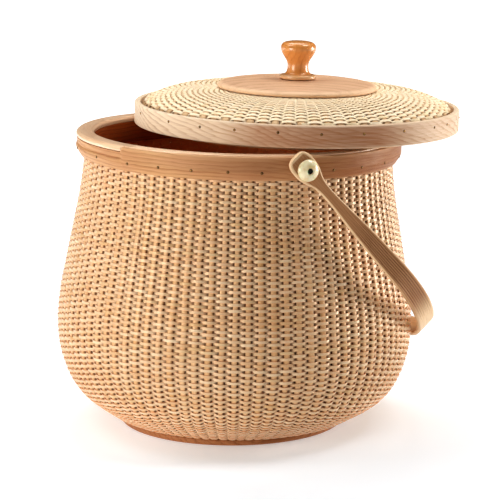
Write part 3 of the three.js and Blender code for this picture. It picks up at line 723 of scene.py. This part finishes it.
WALL_NODES = ["body_weave_foot", "body_weave_lower_belly", "body_weave_belly", "body_weave_shoulder", "body_weave_neck"]
# painted_side_shade lists, by azimuth in degrees, how much painted shade the hollows of the wall take
for ob in weavers("body_weave", wall, wall_lean, STAVES, 2.2, wall.length - 1.5,
                  lambda s: ROW * (0.86 + 0.14 * float(smooth(s, 0, 70))), CANE, 21, 6, CANE_A, 150.0, CANE_T, 2.62, wander=wall_wander, hollow=(-0.92, -0.4), inner_mat=INSIDE,
                  painted_side_shade=[(-180, 0.9), (-100, 0.65), (-55, 0.7), (-25, 0.9), (0, 1.05), (50, 1.2), (90, 0.95), (180, 0.9)]):
    settle(ob, "basket", "cane", *WALL_NODES)
settle(staves_of("body_staves", wall, wall_lean, STAVES, -9.5, wall.length + 8.5,
                 lambda r: r * (0.035 + 0.012 * smooth(118 - r, 0, 12)), CANE_A, 150.0, CANE_T, STAVE, 22, wander=wall_wander, inner_mat=INSIDE),
       "basket", "cane", *WALL_NODES)


# the lid's dome, from inside the hoop to under the disc
def dome(r):
    rise = LID_RISE * (1 - np.maximum(0, (r - DISC_R + 3) / (LID_WEAVE_R - DISC_R + 3)) ** LID_POWER)
    return LID_WEAVE_Z + rise - 3.4 * smooth(r, 129.5, LID_WEAVE_R + 1.0) ** 2


dome_r = np.concatenate([np.linspace(LID_WEAVE_R + 0.1, 126, 24), np.linspace(125, DISC_R - 9, 46)])
top = Surface(np.stack([dome_r, dome(dome_r)], 1))
lid_rng = np.random.default_rng(12)
lid_shift = lid_rng.normal(size=(LID_STAVES + 1)) * 0.05
lid_shift[-1] = lid_shift[0]


def lid_wander(j, s):
    a = np.floor(j).astype(int) % LID_STAVES
    g = j - np.floor(j)
    return (lid_shift[a] * (1 - g) + lid_shift[(a + 1) % LID_STAVES] * g) * 2 * np.pi / LID_STAVES


for ob in weavers("lid_weave", top, lid_frame, LID_STAVES, 5.2, top.length - 0.5, lambda s: 2.42, CANE_LID, 31, 2,
                  1.15, 133.0, 0.62, 2.75, wander=lid_wander, back=0.4):
    settle(ob, "lid", "cane", "lid_weave")
settle(staves_of("lid_staves", top, lid_frame, LID_STAVES, -1.5, top.length, lambda r: r * (0.039 + 0.012 * smooth(r, 122, 133)), 1.15, 133.0, 0.62,
                 STAVE_LID, 32, steps=44, wander=lid_wander), "lid", "cane", "lid_weave")


# ------------------------------------------------------------------ rim
def top_edges(z, soft=2.2):
    return lambda o: np.clip(1 - np.abs(o[:, 1] - z) / soft, 0, 1)


hoop_outline = fill_outline(rounded([
    (HOOP_OUT_R, RIM_BOTTOM, 0.5), (135.6, RIM_BOTTOM, 2.2), (RIM_R, RIM_BOTTOM + 7.0, 6.0), (RIM_R, 241.9, 0.25),
    (RIM_R - 0.02, 242.3, 0), (RIM_R, 242.7, 0.25), (RIM_R, 252.0, 1.2), (137.9, 252.0, 0.4), (137.9, 248.0, 0), (HOOP_OUT_R, RIM_SEAM, 0.5)]), 3.0)


def hoop_shape(az, o):
    """Past the lap the outer strip is thinner, shows its glue line, and stops below the cap's edge."""
    q = o.copy()
    a = (az - LAP_AZ + math.pi) % (2 * math.pi) - math.pi
    left = 1.0 if -2.3 < a <= -0.004 else 0.0
    if left:
        fade = float(smooth(a, -2.3, -2.0))
        up = (q[:, 1] > 242.5) & (q[:, 0] > 136)
        q[up, 0] -= 0.75 * fade
        seam = np.exp(-(((q[:, 1] - 242.3) / 0.55) ** 2)) * (q[:, 0] > 138)
        q[:, 0] -= 0.7 * seam * fade
        high = q[:, 1] > RIM_SEAM - 0.4
        q[high & (q[:, 0] > 136), 1] = np.minimum(q[high & (q[:, 0] > 136), 1], RIM_SEAM - 0.25 + (1 - fade) * 4.2)
    return q


# partly the wood's own tone, partly painted shade: the outer hoop turns darker across the front and right
settle(ring("rim_outer_hoop", hoop_outline, lean, [RIM_WOOD], n=400, start=LAP_AZ, shape=hoop_shape,
            edge=lambda o: np.maximum(top_edges(252.0)(o), top_edges(RIM_BOTTOM, 3.0)(o) * 0.5),
            tone_and_painted_shade=[(-180, 0.3), (-65, 0.0), (-42, 0.22), (-24, 0.05), (5, 0.5), (18, 0.5), (42, 0.95), (66, 0.85), (180, 0.3)]), "basket", "rim_wood", "rim_outer_hoop")

cap_outline = fill_outline(rounded([
    (RIM_IN, RIM_SEAM + 0.35, 0.3), (139.2, RIM_SEAM + 0.35, 0.5), (140.0, RIM_SEAM + 1.4, 0.6), (139.8, 251.4, 1.6), (137.6, RIM_TOP, 2.2),
    (126.4, RIM_TOP, 1.6), (RIM_IN, 251.2, 1.6)]), 2.5)


def cap_shape(az, o):
    """The cap's edge is covered by the outer strip except past the lap."""
    q = o.copy()
    a = (az - LAP_AZ + math.pi) % (2 * math.pi) - math.pi
    bare = float(smooth(a, -2.3, -2.0)) if -2.3 < a <= -0.004 else 0.0
    q[:, 0] = np.where(q[:, 0] > 137.7, 137.75 + (q[:, 0] - 137.75) * bare, q[:, 0])
    return q


settle(ring("rim_cap", cap_outline, lean, [CAP_WOOD], n=400, start=LAP_AZ, shape=cap_shape,
            edge=lambda o: np.clip((o[:, 0] - 136) / 3, 0, 1) * (o[:, 1] > 250)), "basket", "rim_wood", "rim_cap")
inner_outline = fill_outline(rounded([
    (RIM_IN, HOOP_IN_BOTTOM, 1.3), (HOOP_IN_R, HOOP_IN_BOTTOM, 0.5), (HOOP_IN_R, RIM_SEAM, 0.2), (RIM_IN, RIM_SEAM, 0.3)]), 4.0)
settle(ring("rim_inner_hoop", inner_outline, lean, [SHADED_INNER_WOOD], n=256, start=100 * DEG), "basket", "rim_wood", "rim_inner_hoop")

# ------------------------------------------------------------------ base
base_outline = [(0, 0)] + [tuple(p) for p in fill_outline(
    [(20, 0), (96.6, 0), (97.8, 0.4), (98.5, 1.2), (98.8, 2.4), (98.8, 3.6), (98.5, 4.8), (97.6, 5.8), (96.3, 6.2), (88, 6.2), (88, 9.9), (92.6, 9.9),
     (94.3, 10.3), (95, 11.2), (95, 11.8), (94.4, 12.6), (93.2, 13), (20, 13)], 6.0, closed=False)] + [(0, 13)]
settle(solid("base_plate", base_outline, level, [BASE_WOOD], n=192, grain=log_grain(0.35, (14, -70), 0.02)), "basket", "base_wood", "base_plate")

# ------------------------------------------------------------------ lid
lid_hoop_outline = fill_outline(rounded([
    (LID_R - LID_T, LID_BOTTOM, 0.9), (LID_R, LID_BOTTOM, 1.1), (LID_R, LID_TOP, 1.6), (LID_R - LID_T, LID_TOP, 0.9)]), 3.0)
# partly the wood's own tone, partly painted shade: the lid hoop turns brown across the front
settle(ring("lid_hoop", lid_hoop_outline, lid_frame, [HOOP_WOOD], n=320, start=150 * DEG,
            edge=lambda o: np.maximum(top_edges(LID_TOP, 1.9)(o), top_edges(LID_BOTTOM, 1.4)(o)),
            tone_and_painted_shade=[(-180, 0.2), (-55, 0.0), (-28, 0.2), (-14, 0.7), (26, 0.9), (42, 0.5), (65, 0.36), (180, 0.2)]), "lid", "hoop_wood", "lid_hoop")
ring_top = float(dome(121.5)) - 2.8 - 1.1
settle(ring("lid_locating_ring", fill_outline(rounded([
    (117, RIM_TOP + 0.35, 0.8), (121.5, RIM_TOP + 0.35, 1.2), (121.5, ring_top, 0.3), (117, ring_top, 0.3)]), 4.0), lid_frame, [RING_WOOD], n=256),
    "lid", "hoop_wood", "lid_locating_ring")
disc_outline = [(0, 282.65)] + [tuple(p) for p in fill_outline(
    [(20, 282.65), (63.2, 282.65), (64.4, 283.0), (65, 284), (65, 285.85), (58, 285.85), (58, 289.35), (67.6, 289.35), (68.6, 289.8), (69, 290.7), (68.8, 291.7),
     (68.1, 292.6), (66.4, 293.5), (64.2, 294.1), (60, 294.75), (54, 295.4), (45, 296.2), (30, 296.75), (16, 297)], 4.0, closed=False)] + [(0, 297)]
# painted highlight: the disc's rounded rim takes the pale edge colour
settle(solid("lid_disc", disc_outline, lid_frame, [DISC_WOOD], n=192, grain=log_grain(-0.12, (22, 190), 0.05),
             edge=lambda V: smooth(np.hypot(V[:, 0], V[:, 1]), 64.5, 68.0)), "lid", "disc_wood", "lid_disc")
knob_line = curve(KNOB, 80)
knob_outline = np.concatenate([[(0, 297.3), (8, 297.3), (14.0, 297.35)], knob_line])
settle(solid("lid_knob", knob_outline, lid_frame, [KNOB_WOOD], n=96,
             grain=lambda V: log_grain(0.12, (34, 6))(np.stack([V[:, 2] - 300, V[:, 0], V[:, 1]], -1)),
             edge=lambda V: 1 - smooth(V[:, 2], 300.9, 302.2)), "lid", "knob_wood", "lid_knob")


# ------------------------------------------------------------------ nails
def nails(name, azimuths, r, z, place, body, nodes, seed):
    """Small domed heads, each in a dark ring."""
    rng = np.random.default_rng(seed)
    line = np.array([(1.2, -0.1), (1.15, 0.05), (0.85, 0.07), (0.8, 0.24), (0.62, 0.46), (0.35, 0.6)])
    n, V, quads, tris, slots, tri_slots = 14, [], [], [], [], []
    for az in azimuths:
        base = len(V) * 0 + sum(len(v) for v in V)
        a = az * DEG
        dz = rng.normal() * 0.25
        t = np.arange(n) * 2 * math.pi / n
        P = np.stack([np.stack([r + h + 0 * t, q * np.cos(t), q * np.sin(t)], -1) for q, h in line], 1).reshape(-1, 3)
        P = np.concatenate([P, [[r + 0.65, 0, 0], [r - 0.1, 0, 0]]])
        W = np.stack([P[:, 0] * math.sin(a) + P[:, 1] * math.cos(a), -P[:, 0] * math.cos(a) + P[:, 1] * math.sin(a), P[:, 2] + z + dz], -1)
        q, I, J = grid_faces(n, len(line), True, False)
        V.append(W)
        quads.append(q + base)
        slots.append(np.where(J < 2, 1, 0))
        m, i, k = len(line), np.arange(n), n * len(line)
        tris.append(np.stack([np.full(n, k), i * m + m - 1, ((i + 1) % n) * m + m - 1], -1) + base)
        tris.append(np.stack([np.full(n, k + 1), ((i + 1) % n) * m, i * m], -1) + base)
        tri_slots += [np.zeros(n), np.ones(n)]
    ob = make(name, place(np.concatenate(V)), np.concatenate(quads), np.concatenate(tris), mats=[BRASS, NAIL_RING],
              slots=np.concatenate(slots + tri_slots), sharp=50)
    return settle(ob, body, "brass", *nodes)


nails("rim_nails", RIM_NAIL_AZ, RIM_R, RIM_NAIL_Z, lean, "basket", [f"rim_nail_{i + 1}" for i in range(len(RIM_NAIL_AZ))], 41)
nails("lid_nails", LID_NAIL_AZ, LID_R, LID_NAIL_Z, lid_frame, "lid", [f"lid_nail_{i + 1}" for i in range(len(LID_NAIL_AZ))], 42)


# ------------------------------------------------------------------ handle
def handle():
    leg = np.array([-15, -14.9, -14.6, -14.1, -13.4, -12.4, -11, -9, -7, -3.5, 0, 3.5, 7, 10, 13, 16, 20, 25, 30, 36, 42, 48, 55, 62, 69, 76, 84, 92, 100, 108, 115])
    arch = np.linspace(0, math.pi, 121)
    c, s = np.cos(arch), np.sin(arch)
    ax = HANDLE_U * np.sign(c) * np.abs(c) ** (2 / HANDLE_POWER)
    ay = HANDLE_LEG + (HANDLE_REACH - HANDLE_LEG) * np.maximum(s, 0) ** (2 / HANDLE_POWER)
    bow = curve(np.stack([ax, ay], 1), 130)
    line = np.concatenate([np.stack([np.full(len(leg), HANDLE_U), leg], 1), bow, np.stack([np.full(len(leg), -HANDLE_U), leg[::-1]], 1)])
    along = np.concatenate([[0], np.cumsum(np.linalg.norm(np.diff(line, axis=0), axis=1))])
    t = np.gradient(line, along, axis=0)
    t /= np.linalg.norm(t, axis=1)[:, None]
    d = np.minimum(along, along[-1] - along) - EAR_END
    half = curve(HANDLE_HALF, 500)
    hw = np.interp(d, half[:, 0], half[:, 1])
    k = HANDLE_T / 2
    flute = smooth(d, 58, 84) * (1 - smooth(d, 186, 200))
    across = np.linspace(-1, 1, 97)
    groove = np.exp(-(((across[:, None] - np.linspace(-0.78, 0.78, 7)) / 0.055) ** 2)).sum(1)
    soft = np.array([(1.0, 0.34), (0.93, 0.66), (0.76, 0.9)])  # rounded edge: share of half thickness, inset
    rows = []
    for i in range(len(line)):
        h, e = hw[i], min(1.5, hw[i] * 0.3)
        z = across * (h - e)
        q = k - 0.4 * flute[i] * groove
        pts = list(zip(q, z))
        pts += [(k * 0.93, h - e * 0.55), (k * 0.68, h - e * 0.16), (k * 0.2, h), (-k * 0.2, h), (-k * 0.68, h - e * 0.16), (-k * 0.93, h - e * 0.55)]
        pts += list(zip(np.full(9, -k), np.linspace(h - e, -h + e, 9)))
        pts += [(-k * 0.93, -h + e * 0.55), (-k * 0.68, -h + e * 0.16), (-k * 0.2, -h), (k * 0.2, -h), (k * 0.68, -h + e * 0.16), (k * 0.93, -h + e * 0.55)]
        rows.append(pts)
    sec = np.array(rows)
    n, m = sec.shape[:2]
    Q, Z = sec[..., 0], sec[..., 1]
    P = np.stack([line[:, :1] + t[:, 1:] * Q, line[:, 1:] - t[:, :1] * Q, Z], -1)
    quads, I, J = grid_faces(n, m, False, True)
    quads = quads[:, ::-1]
    tips = []
    for end, flip in ((0, False), (n - 1, True)):
        idx = np.arange(m) + end * m
        fan = np.stack([np.full(m - 2, idx[0]), idx[1:-1], idx[2:]], -1)
        tips.append(fan[:, ::-1] if flip else fan)
    wide = 1.6 + 1.0 * (1 - smooth(d, 4, 14))[:, None]
    edge = np.clip((np.abs(Z) - (hw[:, None] - wide)) / 0.7, 0, 1)
    edge = np.maximum(edge, np.clip((wide - 15.0 - d[:, None]) / 0.7, 0, 1))
    # painted light: past about d=154 the whole bow takes the pale edge colour
    edge = np.maximum(edge * (1 - 0.6 * smooth(d, 90, 150)[:, None]), 0.95 * smooth(d, 154, 196)[:, None])
    # painted shade: the flute grooves take the darker tone_and_painted_shade colour
    tone_and_painted_shade = np.zeros(Z.shape)
    tone_and_painted_shade[:, :97] = flute[:, None] * groove * 0.85
    grain = np.stack([np.broadcast_to(along[:, None], Z.shape), Z + 0.4 * Q, Q], -1) * 0.001
    ob = make("handle", handle_frame(P).reshape(-1, 3), quads, np.concatenate(tips), mats=[HANDLE_WOOD],
              point={"grain": grain.reshape(-1, 3), "edge": edge.ravel(), "tone_and_painted_shade": tone_and_painted_shade.ravel()}, sharp=45)
    return settle(ob, "handle", "handle_wood", "handle")


handle()


def axle(name, outline, side, mats, body, slot, node, n=48, closed=True):
    """A turned piece on the handle's axis, from an [r, distance] outline."""
    o = np.asarray(outline, float)
    a = np.arange(n) * 2 * math.pi / n
    s = 1 if side == 0 else -1
    P = np.stack([np.stack([np.full(n, x) * s, r * np.cos(a) * s, r * np.sin(a)], -1) for r, x in o], 1)
    quads, _, _ = grid_faces(n, len(o), True, closed)
    return settle(make(name, pivot_frame(P).reshape(-1, 3), quads, mats=mats, sharp=45), body, slot, node)


for side, word in ((0, "front"), (1, "back")):
    b0 = HANDLE_U + HANDLE_T / 2 + 0.35
    dome_line = curve([(9.0, 0.5), (9.1, 1.0), (8.8, 2.0), (7.9, 3.2), (6.4, 4.5), (4.9, 5.4), (3.6, 5.95)], 20) + np.array([0, b0])
    axle(f"pivot_button_{word}", np.concatenate([[(2.5, b0), (8.6, b0), (8.85, b0 + 0.15)], dome_line, [(3.2, b0 + 6.1), (2.8, b0 + 6.0), (2.55, b0 + 5.6), (2.5, b0 + 4.6)]]),
         side, [BONE], "basket", "bone", f"pivot_button_{word}")
    axle(f"pivot_spacer_{word}", rounded([(2.7, 140.35, 0), (6.5, 140.35, 0.5), (6.5, 143.35, 0.5), (2.7, 143.35, 0)]), side, [BONE], "basket", "bone", f"pivot_spacer_{word}")
    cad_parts[f"pivot_pin_{word}"].data.materials.clear()
    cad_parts[f"pivot_pin_{word}"].data.materials.append(DARK)
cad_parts["knob_screw"].data.materials.clear()
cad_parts["knob_screw"].data.materials.append(STEEL)


# ------------------------------------------------------------------ studio
def floor():
    k = Nodes("floor")
    n = k.t.nodes.new("ShaderNodeTexCoord")
    grain = k.noise(n.outputs["Object"], 40.0, 3.0)
    col = k.mix(k.span(grain, 0.3, 0.7), (0.72, 0.74, 0.765), (0.74, 0.76, 0.785))
    x, y, _ = k.split(n.outputs["Object"])
    m = k.finish(col, 0.9, Specular_IOR_Level=0.1, Emission_Color=(1, 1, 1, 1))
    # painted light: the floor glows, about 0.33 from just in front of the basket backwards, 0.19 more on its left, and
    # up to about 0.75 far off, which lifts the lamps' shadows
    k.set(k.b.inputs["Emission Strength"], k.math("ADD", k.math("ADD", k.span(y, -0.5, -0.15, 0.0, 0.33), k.span(x, -0.12, 0.02, 0.19, 0.0)), k.math("MAXIMUM", k.span(y, 0.5, 2.4, 0.0, 0.7), k.span(k.math("SQRT", k.math("ADD", k.math("MULTIPLY", x, x), k.math("MULTIPLY", y, y))), 0.8, 2.4, 0.0, 0.75))))
    me = bpy.data.meshes.new("floor")
    me.from_pydata([(-14, -6, 0), (14, -6, 0), (14, 22, 0), (-14, 22, 0)], [], [(0, 1, 2, 3)])
    me.materials.append(m)
    ob = bpy.data.objects.new("floor", me)
    ob.location.z = -0.0006
    bpy.context.scene.collection.objects.link(ob)


floor()


def lamp(name, at, to, size, power, colour=(1, 1, 1)):
    d = bpy.data.lights.new(name, "AREA")
    d.shape, d.size, d.size_y, d.energy, d.color = "RECTANGLE", size[0], size[1], power, colour
    o = bpy.data.objects.new(name, d)
    o.location = at
    o.rotation_euler = (Vector(to) - Vector(at)).to_track_quat("-Z", "Y").to_euler()
    bpy.context.scene.collection.objects.link(o)


lamp("left", (-1.376, -1.075, 0.282), (0, 0, 0.16), (0.8, 0.8), 20)
lamp("left_back", (-1.635, 0.595, 0.343), (0, 0, 0.16), (0.25, 0.8), 2.5)
lamp("right", (1.696, 0.392, 0.32), (0, 0, 0.16), (0.35, 0.7), 21.5)
lamp("above_back", (0.0, 0.74, 1.746), (0, 0, 0.16), (1.0, 0.8), 14)
lamp("above_left", (-0.875, -0.0, 1.676), (0, 0, 0.16), (0.8, 0.8), 9)
lamp("above_right", (0.875, -0.0, 1.676), (0, 0, 0.16), (0.6, 0.6), 12)
world = bpy.data.worlds.new("studio")
bpy.context.scene.world = world
world.use_nodes = True
world.node_tree.nodes["Background"].inputs[0].default_value = (1.0, 0.985, 0.965, 1)
world.node_tree.nodes["Background"].inputs[1].default_value = 0.02
sky = world.node_tree
white, ray, both = (sky.nodes.new(t) for t in ("ShaderNodeBackground", "ShaderNodeLightPath", "ShaderNodeMixShader"))
white.inputs[0].default_value = (1, 1, 1, 1)
sky.links.new(ray.outputs["Is Camera Ray"], both.inputs[0])
sky.links.new(sky.nodes["Background"].outputs[0], both.inputs[1])
sky.links.new(white.outputs[0], both.inputs[2])
sky.links.new(both.outputs[0], sky.nodes["World Output"].inputs[0])
bpy.context.scene.view_settings.view_transform = "Standard"
bpy.context.scene.view_settings.look = "Medium High Contrast"
bpy.context.scene.view_settings.exposure = -0.15

# ------------------------------------------------------------------ camera
cam = bpy.data.objects.new("camera", bpy.data.cameras.new("camera"))
bpy.context.scene.collection.objects.link(cam)
ELEVATION, DISTANCE, FOCAL = 12.12 * DEG, 1.9, 2173.8  # focal length in pixels of a 500 pixel frame
cam.location = (0, -DISTANCE * math.cos(ELEVATION), 0.120 + DISTANCE * math.sin(ELEVATION))
cam.rotation_euler = (math.pi / 2 - ELEVATION, 0, 0)
cam.data.sensor_width = 36
cam.data.lens = FOCAL / 500 * 36
cam.data.shift_x = (250 - 231.94) / 500
cam.data.shift_y = -(250 - 282.17) / 500
cam.data.clip_start, cam.data.clip_end = 0.05, 60
bpy.context.scene.camera = cam

bpy.context.view_layer.update()
